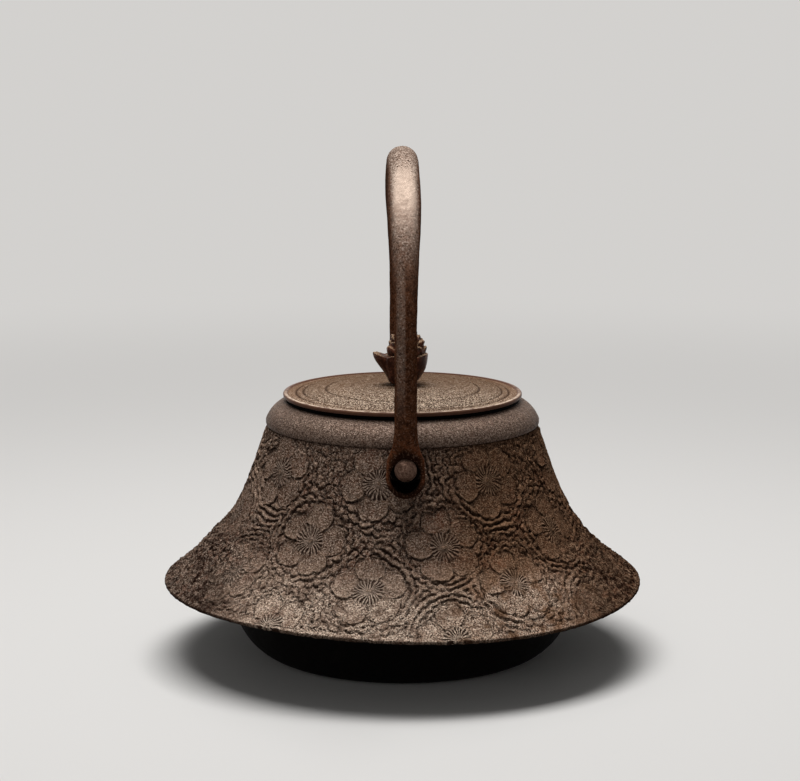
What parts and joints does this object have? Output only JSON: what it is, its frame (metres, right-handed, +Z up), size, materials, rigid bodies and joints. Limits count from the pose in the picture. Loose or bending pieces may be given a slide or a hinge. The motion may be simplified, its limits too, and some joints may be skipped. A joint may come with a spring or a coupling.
{
  "type": "iron tea kettle",
  "caption": "Cast iron tea kettle: flared skirt over a dished base, blossoms on rippled water in relief, lift-off lid with a flower knob, short spout and a swinging bail handle.",
  "frame": {"origin": "centre of the flat face that the kettle stands on", "axes": "+Z up, +Y towards the spout, the handle's plane is the YZ plane"},
  "size_m": [0.2046, 0.2046, 0.2176],
  "materials": {
    "cast_iron": "rough cast, grey-brown, sooty below the skirt",
    "lid_iron": "sandy cast, brown",
    "forged_iron": "hammered, satin reddish brown",
    "knob_iron": "smooth, dark reddish brown",
    "plain_iron": "plain, dark"
  },
  "bodies": {
    "kettle": {"kettle_body": "cast_iron", "lug_rear": "cast_iron", "lug_spout_side": "cast_iron", "singing_plate_1": "plain_iron", "singing_plate_2": "plain_iron", "singing_plate_3": "plain_iron"},
    "bail": {"handle": "forged_iron"},
    "lid": {"lid": "lid_iron", "knob_washer": "plain_iron"},
    "knob": {"knob": "knob_iron"}
  },
  "joints": [
    {"name": "handle_swing", "type": "hinge", "parent": "kettle", "child": "bail", "pos_m": [0, 0, 0.0935], "axis": [0, 1, 0], "range_deg": [-115, 115]},
    {"name": "lid_lift", "type": "slide", "parent": "kettle", "child": "lid", "axis": [0, 0, 1], "range_m": [0, 0.06]},
    {"name": "knob_turn", "type": "hinge", "parent": "lid", "child": "knob", "pos_m": [0, 0, 0.1163], "axis": [0, 0, 1], "continuous": true}
  ]
}
